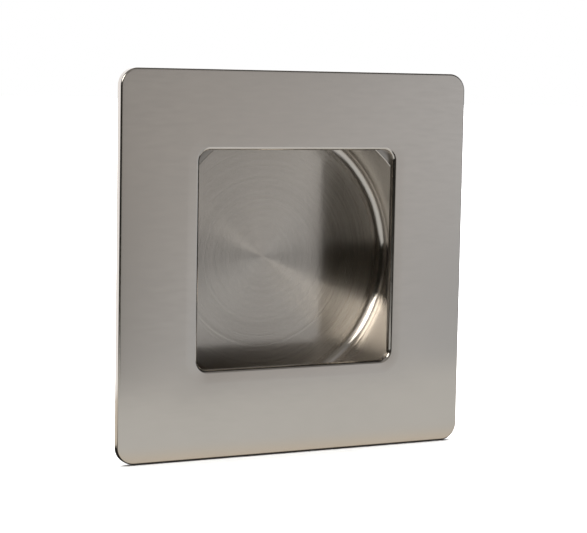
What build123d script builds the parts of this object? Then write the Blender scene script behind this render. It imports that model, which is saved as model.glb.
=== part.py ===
from build123d import *
import os

# Square flush finger pull for a sliding or cupboard door, in millimetres.
#
# A thin square face plate has a square window, and a round turned cup is brazed
# behind it, on the plate's own centre. The cup is wider than the window at its
# sides, so the fingertips hook behind the plate's edge there.
#
# Frame: +Z is up, the user stands on the -Y side and the door is on the +Y side.
# The origin is where the cup's axis meets the back of the face plate, which is
# the plane that lies on the door.

# Face plate
plate_side = 70.0
plate_thickness = 1.5
plate_corner_radius = 3.2
plate_edge_round = 0.45

# Window through the face plate. Its centre lies a little above the plate's.
window_side = 39.5
window_corner_radius = 2.0
window_edge_round = 0.5
window_rise = 0.9

# Round cup, with depths measured from the back of the face plate
finger_undercut = 6.65
cup_wall = 2.0
cup_inner_depth = 13.0
cup_floor = 1.5
cup_cove_radius = 1.7
cup_rim_break = 0.3
cup_back_round = 1.0

# Shallow round seat in the back of the face plate that centres the cup
seat_depth = 0.3
seat_clearance = 0.1

# Sizes that follow from the ones above
cup_bore_radius = window_side / 2 + finger_undercut
cup_outer_radius = cup_bore_radius + cup_wall
cup_back = cup_inner_depth + cup_floor
seat_radius = cup_outer_radius + seat_clearance

# The plate lies in the XZ plane. This plane's normal points to the user.
door_plane = Plane.XZ


# Face plate: a square blank with the window cut through it and the cup's seat
# turned into its back. The front edges are rolled over by polishing, both round
# the outline and round the window.
with BuildPart() as face_plate:
    with BuildSketch(door_plane):
        RectangleRounded(plate_side, plate_side, plate_corner_radius)
        with Locations((0, window_rise)):
            RectangleRounded(window_side, window_side, window_corner_radius, mode=Mode.SUBTRACT)
    extrude(amount=plate_thickness)
    with BuildSketch(door_plane):
        Circle(seat_radius)
    extrude(amount=seat_depth, mode=Mode.SUBTRACT)
    front_face = face_plate.faces().sort_by(Axis.Y)[0]
    outline_edges = front_face.outer_wire().edges()
    window_edges = front_face.inner_wires()[0].edges()
    fillet(outline_edges, radius=plate_edge_round)
    fillet(window_edges, radius=window_edge_round)


# Cup: turned from one blank. Half of its section stands in the XY plane, with the
# radius along X and the depth along Y, and is revolved about the Y axis. Both edges
# of the rim are broken, and the outer break lets the rim drop into the seat.
with BuildPart() as cup:
    with BuildSketch(Plane.XY):
        with BuildLine():
            Polyline(
                (0, cup_inner_depth),
                (cup_bore_radius, cup_inner_depth),
                (cup_bore_radius, -seat_depth),
                (cup_outer_radius, -seat_depth),
                (cup_outer_radius, cup_back),
                (0, cup_back),
                close=True,
            )
        make_face()
        back_corner = vertices().sort_by_distance((cup_outer_radius, cup_back))[0]
        fillet(back_corner, radius=cup_back_round)
        floor_corner = vertices().sort_by_distance((cup_bore_radius, cup_inner_depth))[0]
        fillet(floor_corner, radius=cup_cove_radius)
        rim_corners = vertices().group_by(Axis.Y)[0]
        chamfer(rim_corners, length=cup_rim_break)
    revolve(axis=Axis.Y)


face_plate.part.label = "face_plate"
cup.part.label = "cup"

os.makedirs("parts", exist_ok=True)
export_step(face_plate.part, "parts/face_plate.step")
export_step(cup.part, "parts/cup.step")
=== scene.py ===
import math

import bpy
from mathutils import Matrix, Vector


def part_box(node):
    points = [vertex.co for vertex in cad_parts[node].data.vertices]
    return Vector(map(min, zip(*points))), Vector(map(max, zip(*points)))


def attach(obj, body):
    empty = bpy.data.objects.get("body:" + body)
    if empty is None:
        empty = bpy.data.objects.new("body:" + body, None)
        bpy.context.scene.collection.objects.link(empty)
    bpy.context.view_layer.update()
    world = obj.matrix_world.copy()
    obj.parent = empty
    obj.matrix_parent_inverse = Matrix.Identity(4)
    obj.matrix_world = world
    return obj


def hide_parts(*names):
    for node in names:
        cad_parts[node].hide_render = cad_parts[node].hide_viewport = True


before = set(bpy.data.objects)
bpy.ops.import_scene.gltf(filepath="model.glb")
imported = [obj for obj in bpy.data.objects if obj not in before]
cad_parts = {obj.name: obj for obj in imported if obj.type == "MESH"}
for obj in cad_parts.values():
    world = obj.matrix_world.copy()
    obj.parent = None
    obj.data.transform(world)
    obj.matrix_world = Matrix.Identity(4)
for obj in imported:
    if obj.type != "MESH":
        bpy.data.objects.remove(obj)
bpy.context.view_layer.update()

# Square flush finger pull in warm satin nickel. All lengths are in metres, in the
# frame of the solids: +Z is up, the user stands on the -Y side, the door is on +Y.

MM = 0.001

# Face plate. Its rounded edges are as wide as the lines of light along them in the photo.
plate_low, plate_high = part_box("face_plate")
PLATE_HALF = min(plate_high.x, -plate_low.x, plate_high.z, -plate_low.z)
PLATE_FRONT = plate_low.y
PLATE_CORNER = 3.2 * MM
PLATE_EDGE = 0.3 * MM
WINDOW_HALF = 19.75 * MM
WINDOW_CORNER = 2.0 * MM
WINDOW_EDGE = 0.62 * MM
WINDOW_RISE = 0.9 * MM
SEAT = 28.5 * MM
# The buffing rolls the front back beside its edges: how wide, how deep, how curved
OUTER_ROLL, OUTER_DROP, OUTER_CURVE = 1.2 * MM, 0.003 * MM, 2
WINDOW_ROLL, WINDOW_DROP, WINDOW_CURVE = 1.9 * MM, 0.09 * MM, 1.3
# The share of the window's drop at its sides, and how much more there is below and less above
DROP_BESIDE, DROP_LEAN = 0.6, 0.4

# Cup. Its cove and the edge of its bore are as the lines of light in the photo show them.
cup_low, cup_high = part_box("cup")
CUP_OUTER = min(cup_high.x, -cup_low.x, cup_high.z, -cup_low.z)
CUP_RIM = cup_low.y
CUP_BACK = cup_high.y
CUP_BORE = 26.4 * MM
CUP_FLOOR = 13.0 * MM
COVE = 1.95 * MM
RIM_BREAK = 0.3 * MM
BORE_BREAK = 0.12 * MM
BACK_ROUND = 1.0 * MM

# Camera, fitted to the edges of the plate and of the window
IMAGE_WIDTH_PX = 587
FOCAL_PX = 1888.14
SENSOR = 36.0
CAMERA_PLACE = Vector((-158.05, -306.51, 33.07)) * MM
CAMERA_RIGHT = Vector((0.8895794, -0.4564050, 0.0185191))
CAMERA_DOWN = Vector((-0.0281389, -0.0952210, -0.9950584))
CAMERA_AHEAD = Vector((0.4559130, 0.8846623, -0.0975494))


# Mesh helpers

SHARP_ANGLE = math.radians(28)
# Beside a round, a flat has a loop this far from it, which keeps its shading flat
CUP_HOLD = 0.04 * MM
PLATE_HOLD = 0.03 * MM


def new_object(name, verts, faces):
    """A smooth mesh object. Its edges over the sharp angle stay sharp."""
    mesh = bpy.data.meshes.new(name)
    mesh.from_pydata([tuple(v) for v in verts], [], faces)
    mesh.validate()
    mesh.update()
    mesh.polygons.foreach_set("use_smooth", [True] * len(mesh.polygons))
    mesh.set_sharp_from_angle(angle=SHARP_ANGLE)
    obj = bpy.data.objects.new(name, mesh)
    bpy.context.scene.collection.objects.link(obj)
    return obj


def arc(centre, radius, start, end, steps):
    """Points of an arc in a section, angles in degrees, both ends included."""
    points = []
    for i in range(steps + 1):
        a = math.radians(start + (end - start) * i / steps)
        points.append((centre[0] + radius * math.cos(a), centre[1] + radius * math.sin(a)))
    return points


# Cup: a section of (radius, depth) points, turned about the Y axis

CUP_SEGMENTS = 288
COVE_STEPS = 24
BACK_STEPS = 16
# The rings of points on the flat floor and the flat back, as shares of their radius
FLOOR_RINGS = (0.02, 0.2, 0.4, 0.6, 0.8)
BACK_RINGS = (0.75, 0.5, 0.25, 0.02)


def inner_section():
    """From the middle of the floor, over the cove and up the wall to the rim."""
    floor_radius = CUP_BORE - COVE
    points = [(share * floor_radius, CUP_FLOOR) for share in FLOOR_RINGS]
    points.append((floor_radius - CUP_HOLD, CUP_FLOOR))
    points += arc((floor_radius, CUP_FLOOR - COVE), COVE, 90, 0, COVE_STEPS)
    points.append((CUP_BORE, CUP_FLOOR - COVE - CUP_HOLD))
    points.append((CUP_BORE, CUP_RIM + BORE_BREAK))
    points.append((CUP_BORE + BORE_BREAK, CUP_RIM))
    return points


def outer_section():
    """From the rim down the outside to the middle of the back."""
    points = [(CUP_OUTER - RIM_BREAK, CUP_RIM)]
    points.append((CUP_OUTER, CUP_RIM + RIM_BREAK))
    points.append((CUP_OUTER, CUP_BACK - BACK_ROUND - CUP_HOLD))
    points += arc((CUP_OUTER - BACK_ROUND, CUP_BACK - BACK_ROUND), BACK_ROUND, 0, 90, BACK_STEPS)
    points.append((CUP_OUTER - BACK_ROUND - CUP_HOLD, CUP_BACK))
    points += [(share * CUP_OUTER, CUP_BACK) for share in BACK_RINGS]
    return points


def make_cup():
    """The cup. Its second material starts on the rim's face and covers the outside."""
    inner = inner_section()
    section = inner + outer_section()
    verts = [Vector((0, section[0][1], 0))]
    for radius, depth in section:
        for s in range(CUP_SEGMENTS):
            a = 2 * math.pi * s / CUP_SEGMENTS
            verts.append(Vector((radius * math.cos(a), depth, radius * math.sin(a))))
    verts.append(Vector((0, section[-1][1], 0)))
    last = len(verts) - 1
    last_ring = 1 + (len(section) - 1) * CUP_SEGMENTS
    faces, outside = [], []
    for s in range(CUP_SEGMENTS):
        t = (s + 1) % CUP_SEGMENTS
        faces.append((0, 1 + s, 1 + t))
        outside.append(0)
        for k in range(len(section) - 1):
            a, b = 1 + k * CUP_SEGMENTS, 1 + (k + 1) * CUP_SEGMENTS
            faces.append((a + s, b + s, b + t, a + t))
            outside.append(int(k >= len(inner) - 1))
        faces.append((last_ring + s, last, last_ring + t))
        outside.append(1)
    cup = new_object("cup_turned", verts, faces)
    cup.data.materials.append(turned_material())
    cup.data.materials.append(faced_material())
    cup.data.polygons.foreach_set("material_index", outside)
    return cup


# Face plate: closed loops of points, each joined to the next

SIDE_STEPS = 14
CORNER_STEPS = 18
PLATE_EDGE_STEPS = 12
WINDOW_EDGE_STEPS = 13
ROLL_STEPS = 8
# The last strips of faces are the seat's floor, the seat's wall and the plate's back
BACK_STRIPS = 3


def square_loop(half, corner, depth, rise=0.0):
    """A square loop with round corners, from the lower end of its right side."""
    inner = half - corner
    points = []
    for quarter in range(4):
        turn = math.radians(90 * quarter)
        side = [(half, inner * (2 * i / SIDE_STEPS - 1)) for i in range(SIDE_STEPS)]
        bend = arc((inner, inner), corner, 0, 90, CORNER_STEPS)[:-1]
        for x, z in side + bend:
            points.append(Vector((
                x * math.cos(turn) - z * math.sin(turn),
                depth,
                x * math.sin(turn) + z * math.cos(turn) + rise,
            )))
    return points


def window_loop(inset, drop, depth):
    """A loop round the window. The drop is full below the window and least above it."""
    points = square_loop(WINDOW_HALF + inset, WINDOW_CORNER + inset, depth, WINDOW_RISE)
    for p in points:
        p.y += drop * (DROP_BESIDE - DROP_LEAN * (p.z - WINDOW_RISE) / (WINDOW_HALF + inset))
    return points


def circle_loop(like, radius, depth):
    """A circle whose points lie in the same directions as those of another loop."""
    points = []
    for p in like:
        away = math.hypot(p.x, p.z)
        points.append(Vector((p.x / away * radius, depth, p.z / away * radius)))
    return points


def over_edge(radius, steps):
    """Steps over a rounded edge, from its side to the front: how far in, and how far back."""
    turns = [math.radians(90 * i / steps) for i in range(steps + 1)]
    return [(radius * (1 - math.cos(a)), radius * (1 - math.sin(a))) for a in turns]


def plate_loops():
    """From the back over the outer edge, the front and the window's edge to the cup's seat."""
    loops = [square_loop(PLATE_HALF, PLATE_CORNER, 0.0)]
    loops.append(square_loop(PLATE_HALF, PLATE_CORNER, PLATE_FRONT + PLATE_EDGE + PLATE_HOLD))
    for inset, back in over_edge(PLATE_EDGE, PLATE_EDGE_STEPS):
        depth = PLATE_FRONT + OUTER_DROP + back
        loops.append(square_loop(PLATE_HALF - inset, PLATE_CORNER - inset, depth))
    # the front, which rolls back a little beside both edges
    for i in range(1, ROLL_STEPS + 1):
        share = i / ROLL_STEPS
        inset = PLATE_EDGE + OUTER_ROLL * share
        depth = PLATE_FRONT + OUTER_DROP * (1 - share) ** OUTER_CURVE
        loops.append(square_loop(PLATE_HALF - inset, PLATE_CORNER - inset, depth))
    for i in range(ROLL_STEPS, -1, -1):
        share = i / ROLL_STEPS
        drop = WINDOW_DROP * (1 - share) ** WINDOW_CURVE
        loops.append(window_loop(WINDOW_EDGE + WINDOW_ROLL * share, drop, PLATE_FRONT))
    # over the window's rounded edge, without its first step, and back along its wall
    for inset, back in over_edge(WINDOW_EDGE, WINDOW_EDGE_STEPS)[-2::-1]:
        loops.append(window_loop(inset, WINDOW_DROP, PLATE_FRONT + back))
    wall = PLATE_FRONT + WINDOW_EDGE + WINDOW_DROP + PLATE_HOLD
    loops.append(square_loop(WINDOW_HALF, WINDOW_CORNER, wall, WINDOW_RISE))
    back_window = square_loop(WINDOW_HALF, WINDOW_CORNER, CUP_RIM, WINDOW_RISE)
    loops.append(back_window)
    loops.append(circle_loop(back_window, SEAT, CUP_RIM))
    loops.append(circle_loop(back_window, SEAT, 0.0))
    return loops


def make_plate():
    """The face plate. Its second material covers the back and the seat in it."""
    loops = plate_loops()
    count = len(loops[0])
    verts = [p for loop in loops for p in loop]
    faces, behind = [], []
    for k in range(len(loops)):
        a, b = k * count, ((k + 1) % len(loops)) * count
        for s in range(count):
            t = (s + 1) % count
            faces.append((a + s, a + t, b + t, b + s))
            behind.append(int(k >= len(loops) - BACK_STRIPS))
    plate = new_object("face_plate_buffed", verts, faces)
    plate.data.materials.append(buffed_material())
    plate.data.materials.append(satin_material())
    plate.data.polygons.foreach_set("material_index", behind)
    return plate


# Material helpers

NICKEL = (0.64, 0.60, 0.55)
# Nearly all values of a noise lie in this range, and those of two noises added in the next
NOISE = (0.3, 0.7)
TWO_NOISES = (0.7, 1.3)


def node(tree, kind, *inputs, **settings):
    """A new node with its settings. Each input is a socket to link, a value, or None."""
    made = tree.nodes.new(kind)
    for key, value in settings.items():
        setattr(made, key, value)
    for socket, value in zip(made.inputs, inputs):
        if isinstance(value, bpy.types.NodeSocket):
            tree.links.new(value, socket)
        elif value is not None:
            socket.default_value = value
    return made


def math_node(tree, operation, *inputs):
    return node(tree, "ShaderNodeMath", *inputs, operation=operation).outputs[0]


def vector_node(tree, operation, *inputs):
    return node(tree, "ShaderNodeVectorMath", *inputs, operation=operation).outputs["Vector"]


def spread(tree, value, old, new):
    """Maps a value from the old range to the new one, clamped."""
    return node(tree, "ShaderNodeMapRange", value, *old, *new).outputs["Result"]


def noise(tree, place, scale, detail):
    return node(tree, "ShaderNodeTexNoise", place, None, scale, detail).outputs[0]


def metal(name):
    """A new nickel material with its node tree and its shader."""
    material = bpy.data.materials.new(name)
    material.use_nodes = True
    tree = material.node_tree
    shader = tree.nodes["Principled BSDF"]
    shader.inputs["Metallic"].default_value = 1.0
    return material, tree, shader


def dress(tree, shader, shade, roughness, height, relief):
    """Links a metal's shade, roughness and bump. Relief is how deep the bump's marks are."""
    tree.links.new(vector_node(tree, "SCALE", NICKEL, None, None, shade), shader.inputs["Base Color"])
    tree.links.new(roughness, shader.inputs["Roughness"])
    bump = node(tree, "ShaderNodeBump")
    bump.inputs["Strength"].default_value = 1.0
    bump.inputs["Distance"].default_value = relief
    tree.links.new(height, bump.inputs["Height"])
    tree.links.new(bump.outputs["Normal"], shader.inputs["Normal"])


def turned_place(tree):
    """Round the Y axis: the distance from it, the place along it and the way round it."""
    place = node(tree, "ShaderNodeTexCoord").outputs["Object"]
    flat = vector_node(tree, "MULTIPLY", place, (1, 0, 1))
    around = vector_node(tree, "NORMALIZE", flat)
    radius = node(tree, "ShaderNodeVectorMath", flat, operation="LENGTH").outputs["Value"]
    depth = node(tree, "ShaderNodeSeparateXYZ", place).outputs["Y"]
    return radius, depth, around


def ring_noise(tree, along, around, per_metre, drift, detail):
    """Noise that runs in rings and changes only slowly round the axis."""
    step = node(tree, "ShaderNodeCombineXYZ", None, math_node(tree, "MULTIPLY", along, per_metre), None)
    turn = vector_node(tree, "SCALE", around, None, None, drift)
    return noise(tree, vector_node(tree, "ADD", turn, step.outputs["Vector"]), 1.0, detail)


# Materials

GRAIN_PER_METRE = (300, 900, 1500)


def buffed_material():
    """Warm nickel, finely buffed: soft cloudy marks and a very fine grain."""
    material, tree, shader = metal("buffed_nickel")
    place = node(tree, "ShaderNodeTexCoord").outputs["Object"]
    cloud = noise(tree, place, scale=70, detail=3)
    grain = noise(tree, vector_node(tree, "MULTIPLY", place, GRAIN_PER_METRE), scale=1.0, detail=3)
    shade = spread(tree, cloud, NOISE, (0.98, 1.02))
    roughness = spread(tree, math_node(tree, "ADD", cloud, grain), TWO_NOISES, (0.15, 0.2))
    dress(tree, shader, shade, roughness, grain, relief=0.0008 * MM)
    return material


def satin_material():
    """The same nickel, dull, on the back of the plate."""
    material, tree, shader = metal("satin_nickel")
    place = node(tree, "ShaderNodeTexCoord").outputs["Object"]
    cloud = noise(tree, place, scale=90, detail=3)
    grain = noise(tree, place, scale=2200, detail=2)
    shade = spread(tree, cloud, NOISE, (0.5, 0.58))
    roughness = spread(tree, math_node(tree, "ADD", cloud, grain), TWO_NOISES, (0.3, 0.42))
    dress(tree, shader, shade, roughness, grain, relief=0.003 * MM)
    return material


def faced_material():
    """The same nickel on the cup's outside: dull, with faint rings left by the lathe."""
    material, tree, shader = metal("faced_nickel")
    radius, depth, around = turned_place(tree)
    along = math_node(tree, "ADD", radius, depth)
    rings = ring_noise(tree, along, around, per_metre=1600, drift=0.05, detail=4)
    shade = spread(tree, rings, NOISE, (0.68, 0.80))
    roughness = spread(tree, rings, NOISE, (0.42, 0.30))
    dress(tree, shader, shade, roughness, rings, relief=0.002 * MM)
    return material


# Single marks of the tool on the floor: radius, half width, how much darker. The first is no tool mark
# but a painted highlight that makes the middle lighter
TOOL_RINGS_AND_MIDDLE_HIGHLIGHT = (
    (0.0, 0.4 * MM, -0.06),
    (5.6 * MM, 0.25 * MM, 0.025),
    (9.8 * MM, 0.25 * MM, 0.025),
    (12.0 * MM, 0.12 * MM, 0.05),
    (13.4 * MM, 0.35 * MM, 0.03),
)
# The scored floor turns into the burnished cove and wall between these radii
SCORED_END = (23.6 * MM, 24.6 * MM)
# How much smoother the burnishing makes the marks, and how much the bands add to them
BURNISH = 0.3
BANDS_SHARE = 0.02
# Marks below the first of these values are smooth, and those above the second are rough
MARKS = (0.495, 0.535)
MARKS_ROUGH = 0.40
FLOOR_SMOOTH, WALL_SMOOTH = 0.10, 0.155


def turned_material():
    """The same nickel, turned: circular tool marks round the axis, on floor and wall alike.

    The grooves are finer than a pixel. Smooth and rough ones together give the floor its
    sharp mirror image and, over it, the light and dark fans round the middle.
    """
    material, tree, shader = metal("turned_nickel")
    radius, depth, around = turned_place(tree)
    along = math_node(tree, "SUBTRACT", radius, depth)
    bands = ring_noise(tree, along, around, per_metre=2200, drift=0.03, detail=3)
    grooves = ring_noise(tree, along, around, per_metre=80000, drift=0.02, detail=0)
    burnish = spread(tree, radius, SCORED_END, (0.0, BURNISH))
    smooth = spread(tree, radius, SCORED_END, (FLOOR_SMOOTH, WALL_SMOOTH))
    scored = math_node(tree, "MULTIPLY_ADD", bands, BANDS_SHARE, grooves)
    marks = math_node(tree, "SUBTRACT", scored, burnish)
    shade = spread(tree, bands, NOISE, (0.98, 1.01))
    # the tool marks darken their rings, and the painted highlight lightens the middle
    for at, half, darker in TOOL_RINGS_AND_MIDDLE_HIGHLIGHT:
        away = math_node(tree, "ABSOLUTE", math_node(tree, "SUBTRACT", radius, at))
        shade = math_node(tree, "SUBTRACT", shade, spread(tree, away, (0.0, half), (darker, 0.0)))
    roughness = spread(tree, marks, MARKS, (smooth, MARKS_ROUGH))
    dress(tree, shader, shade, roughness, bands, relief=0.00004 * MM)
    shader.inputs["Anisotropic"].default_value = 1.0
    shader.inputs["Anisotropic Rotation"].default_value = 0.25
    tangent = node(tree, "ShaderNodeTangent", direction_type="RADIAL", axis="Y")
    tree.links.new(tangent.outputs["Tangent"], shader.inputs["Tangent"])
    return material


# Studio helpers

def direction(azimuth, elevation):
    """Unit vector from the object. Azimuth 0 is towards the user, 90 to the user's right."""
    a, e = math.radians(azimuth), math.radians(elevation)
    return Vector((math.sin(a) * math.cos(e), -math.cos(a) * math.cos(e), math.sin(e)))


def new_tree(name):
    """A new material with an empty node tree."""
    material = bpy.data.materials.new(name)
    material.use_nodes = True
    material.node_tree.nodes.clear()
    return material, material.node_tree


def emission(tree, colour, strength):
    """Makes the whole material glow."""
    glow = node(tree, "ShaderNodeEmission", colour, strength)
    node(tree, "ShaderNodeOutputMaterial", glow.outputs["Emission"])


# Floor and paper

FLOOR_LEVEL = plate_low.z - 0.15 * MM
FLOOR_RADIUS = 6.0
FLOOR_STEPS = 96
FLOOR_COLOUR = (0.86, 0.86, 0.86, 1)
# The corners of the glowing sheet that stands in for the lit paper on the floor, in mm
SHEET_CORNERS = ((-150, 70), (-150, -150), (-40, -140), (-8, -78), (30, -75), (150, -100), (150, 70))
# The sheet's glow paints the lit paper into the metal's reflections; the next colour is its painted warm
# bounce light beside the plate
SHEET_COLOUR = (0.67, 0.675, 0.665)
SHEET_BOUNCE_WARM = (0.73, 0.665, 0.575)
# From the first to the second of these depths, the sheet's glow turns from its colour to the warm one:
# painted bounce light from the plate
BOUNCE_WARM_DEPTHS = (-16 * MM, -4 * MM)
# The painted contact shadow, a dark strip in the sheet's glow under the part: its middle, how far from
# there its edges fade, its brightness
CONTACT_SHADOW_MIDDLE = (PLATE_FRONT + CUP_BACK) / 2
CONTACT_SHADOW_FADE = (8.2 * MM, 9.8 * MM)
CONTACT_SHADOW_LIGHT = 0.03


def make_floor():
    """The pale floor that the camera sees. The metal sees the sheet instead."""
    rim = []
    for s in range(FLOOR_STEPS):
        way = direction(360 * s / FLOOR_STEPS, 0)
        rim.append(way * FLOOR_RADIUS + Vector((0, 0, FLOOR_LEVEL)))
    floor = new_object("floor", rim, [tuple(range(FLOOR_STEPS))])
    material = bpy.data.materials.new("pale_floor")
    material.use_nodes = True
    shader = material.node_tree.nodes["Principled BSDF"]
    shader.inputs["Base Color"].default_value = FLOOR_COLOUR
    shader.inputs["Roughness"].default_value = 0.9
    shader.inputs["Specular IOR Level"].default_value = 0.0
    floor.data.materials.append(material)
    floor.visible_glossy = False


def make_sheet():
    """A glowing sheet that stands in for the lit paper on the floor, as the metal sees it: a painted
    reflection.

    Its glow has painted warm light beside the plate, which throws its own light on it, and a painted
    contact shadow under the part.
    """
    verts = [(x * MM, y * MM, FLOOR_LEVEL) for x, y in SHEET_CORNERS]
    sheet = new_object("floor_sheet", verts, [tuple(range(len(verts)))])
    material, tree = new_tree("sheet_glow")
    place = node(tree, "ShaderNodeTexCoord").outputs["Object"]
    depth = node(tree, "ShaderNodeSeparateXYZ", place).outputs["Y"]
    # painted contact shadow: the glow fades to dark under the part
    away = math_node(tree, "ABSOLUTE", math_node(tree, "SUBTRACT", depth, CONTACT_SHADOW_MIDDLE))
    light = spread(tree, away, CONTACT_SHADOW_FADE, (CONTACT_SHADOW_LIGHT, 1.0))
    # painted bounce light: the glow turns warm beside the plate
    beside = spread(tree, depth, BOUNCE_WARM_DEPTHS, (0.0, 1.0))
    warmer = [w - c for w, c in zip(SHEET_BOUNCE_WARM, SHEET_COLOUR)]
    colour = vector_node(tree, "MULTIPLY_ADD", warmer, beside, SHEET_COLOUR)
    emission(tree, vector_node(tree, "SCALE", colour, None, None, light), 1.0)
    sheet.data.materials.append(material)
    sheet.visible_camera = False
    sheet.visible_diffuse = False
    sheet.visible_shadow = False


# World: what the metal sees beyond the floor

NEUTRAL = (1.0, 0.985, 1.0)
WARM = (1.0, 0.95, 0.88)
COOL = (0.96, 1.0, 1.06)
# Soft glows of the studio: azimuth, elevation, inner and outer angle, colour, strength
GLOWS = (
    (130, 0, 20, 45, NEUTRAL, 0.3),
    (44, -4, 4, 18, COOL, 0.59),
    (22, -6, 3, 12, WARM, 0.18),
    (27, 3, 4, 12, NEUTRAL, 0.34),
    (26, -12, 3, 9, COOL, 0.37),
    (27, -36, 12, 22, NEUTRAL, 1.0),
    (-21, 22, 2, 13, WARM, 0.84),
    (0, 28, 5, 35, WARM, 0.17),
    (27, 34, 8, 24, NEUTRAL, 0.15),
    (-25, 62, 8, 28, NEUTRAL, 0.25),
    (180, 5, 30, 75, NEUTRAL, 1.15),
)
STUDIO_DIM = (0.012, 0.011, 0.009)
BACKDROP = (1.0, 1.0, 1.0, 1)


def world_glow(tree, way, total, azimuth, elevation, inner, outer, colour, strength):
    """Adds a soft round glow, full within inner degrees of a direction and gone at outer."""
    dot = node(tree, "ShaderNodeVectorMath", way, direction(azimuth, elevation), operation="DOT_PRODUCT")
    ramp = node(
        tree, "ShaderNodeMapRange", dot.outputs["Value"],
        math.cos(math.radians(outer)), math.cos(math.radians(inner)), 0.0, strength,
        interpolation_type="SMOOTHSTEP",
    )
    tint = vector_node(tree, "SCALE", colour, None, None, ramp.outputs["Result"])
    return vector_node(tree, "ADD", total, tint)


def make_world():
    """The glows for the metal, and a white backdrop for the camera."""
    world = bpy.data.worlds.new("studio")
    bpy.context.scene.world = world
    world.use_nodes = True
    tree = world.node_tree
    tree.nodes.clear()
    way = node(tree, "ShaderNodeTexCoord").outputs["Generated"]
    total = STUDIO_DIM
    for glow in GLOWS:
        total = world_glow(tree, way, total, *glow)
    around = node(tree, "ShaderNodeBackground", total)
    seen = node(tree, "ShaderNodeBackground", BACKDROP)
    path = node(tree, "ShaderNodeLightPath")
    mix = node(
        tree, "ShaderNodeMixShader", path.outputs["Is Camera Ray"],
        around.outputs["Background"], seen.outputs["Background"],
    )
    node(tree, "ShaderNodeOutputWorld", mix.outputs["Shader"])


# Lights and camera

SKY_STRENGTH = 7.5
SKY_SPREAD = math.radians(70)
SKY_TILT = (math.radians(-12), math.radians(8), 0)
PANEL_COLOUR = (1.0, 0.975, 0.92, 1)


def make_sky():
    """A broad light from above, for the floor only."""
    sky = bpy.data.lights.new("sky", "SUN")
    sky.energy = SKY_STRENGTH
    sky.angle = SKY_SPREAD
    obj = bpy.data.objects.new("sky", sky)
    bpy.context.scene.collection.objects.link(obj)
    obj.rotation_euler = SKY_TILT
    obj.visible_glossy = False


def make_panel(azimuth, elevation, distance, width, height, strength):
    """A glowing panel that faces the object. All but distance and strength are in degrees."""
    half_w = distance * math.tan(math.radians(width / 2))
    half_h = distance * math.tan(math.radians(height / 2))
    towards = direction(azimuth, elevation)
    turn = towards.to_track_quat("Z", "Y").to_matrix()
    corners = [(-half_w, -half_h), (half_w, -half_h), (half_w, half_h), (-half_w, half_h)]
    verts = [towards * distance + turn @ Vector((x, y, 0)) for x, y in corners]
    panel = new_object("front_panel", verts, [(0, 1, 2, 3)])
    material, tree = new_tree("front_panel")
    emission(tree, PANEL_COLOUR, strength)
    panel.data.materials.append(material)
    panel.visible_camera = False


def make_camera():
    """The photo's camera, from its fitted place and directions."""
    camera = bpy.data.cameras.new("camera")
    camera.sensor_width = SENSOR
    camera.lens = FOCAL_PX * SENSOR / IMAGE_WIDTH_PX
    camera.clip_start = 0.01
    camera.clip_end = 20
    obj = bpy.data.objects.new("camera", camera)
    bpy.context.scene.collection.objects.link(obj)
    turn = Matrix((CAMERA_RIGHT, -CAMERA_DOWN, -CAMERA_AHEAD)).transposed()
    obj.matrix_world = Matrix.Translation(CAMERA_PLACE) @ turn.to_4x4()
    bpy.context.scene.camera = obj


plate = make_plate()
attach(plate, "root")
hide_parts("face_plate")

cup = make_cup()
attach(cup, "root")
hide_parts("cup")

make_floor()
make_sheet()
make_world()
make_sky()
make_panel(azimuth=-54, elevation=33, distance=0.7, width=33, height=25, strength=4.4)
make_camera()
bpy.context.scene.view_settings.view_transform = "Standard"
